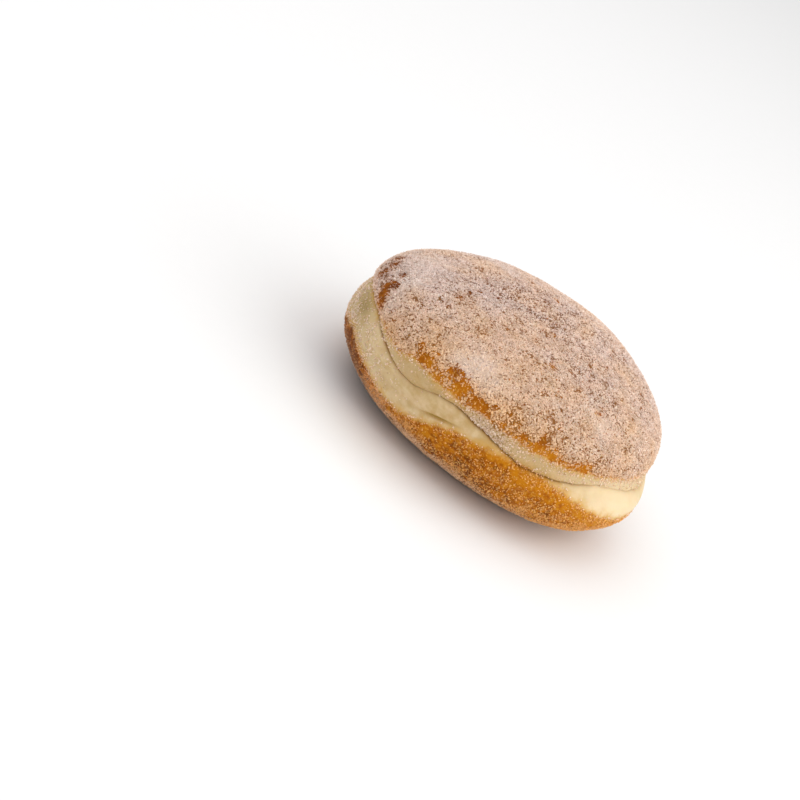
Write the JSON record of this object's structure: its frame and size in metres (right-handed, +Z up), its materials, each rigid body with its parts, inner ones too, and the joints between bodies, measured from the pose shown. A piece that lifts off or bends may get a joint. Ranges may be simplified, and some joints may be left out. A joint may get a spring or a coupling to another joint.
{
  "type": "jelly filled doughnut",
  "caption": "Whole, uncut filled doughnut coated with sugar: flattened round bun with a domed brown top, a pale creased ring round the side and a brown underside with a small flat spot.",
  "frame": {"origin": "middle of the doughnut's bounding box in plan, at the level of the surface it rests on", "axes": "+Z up through the domed top; +X towards the wider end, along the longest side of the plan; -Y is the side seen first"},
  "size_m": [0.0872, 0.0802, 0.039],
  "materials": {
    "crust": "browned fried dough, pale cream round the side",
    "sugar": "granulated sugar crystals"
  },
  "bodies": {
    "root": {"doughnut": "crust"}
  },
  "joints": []
}
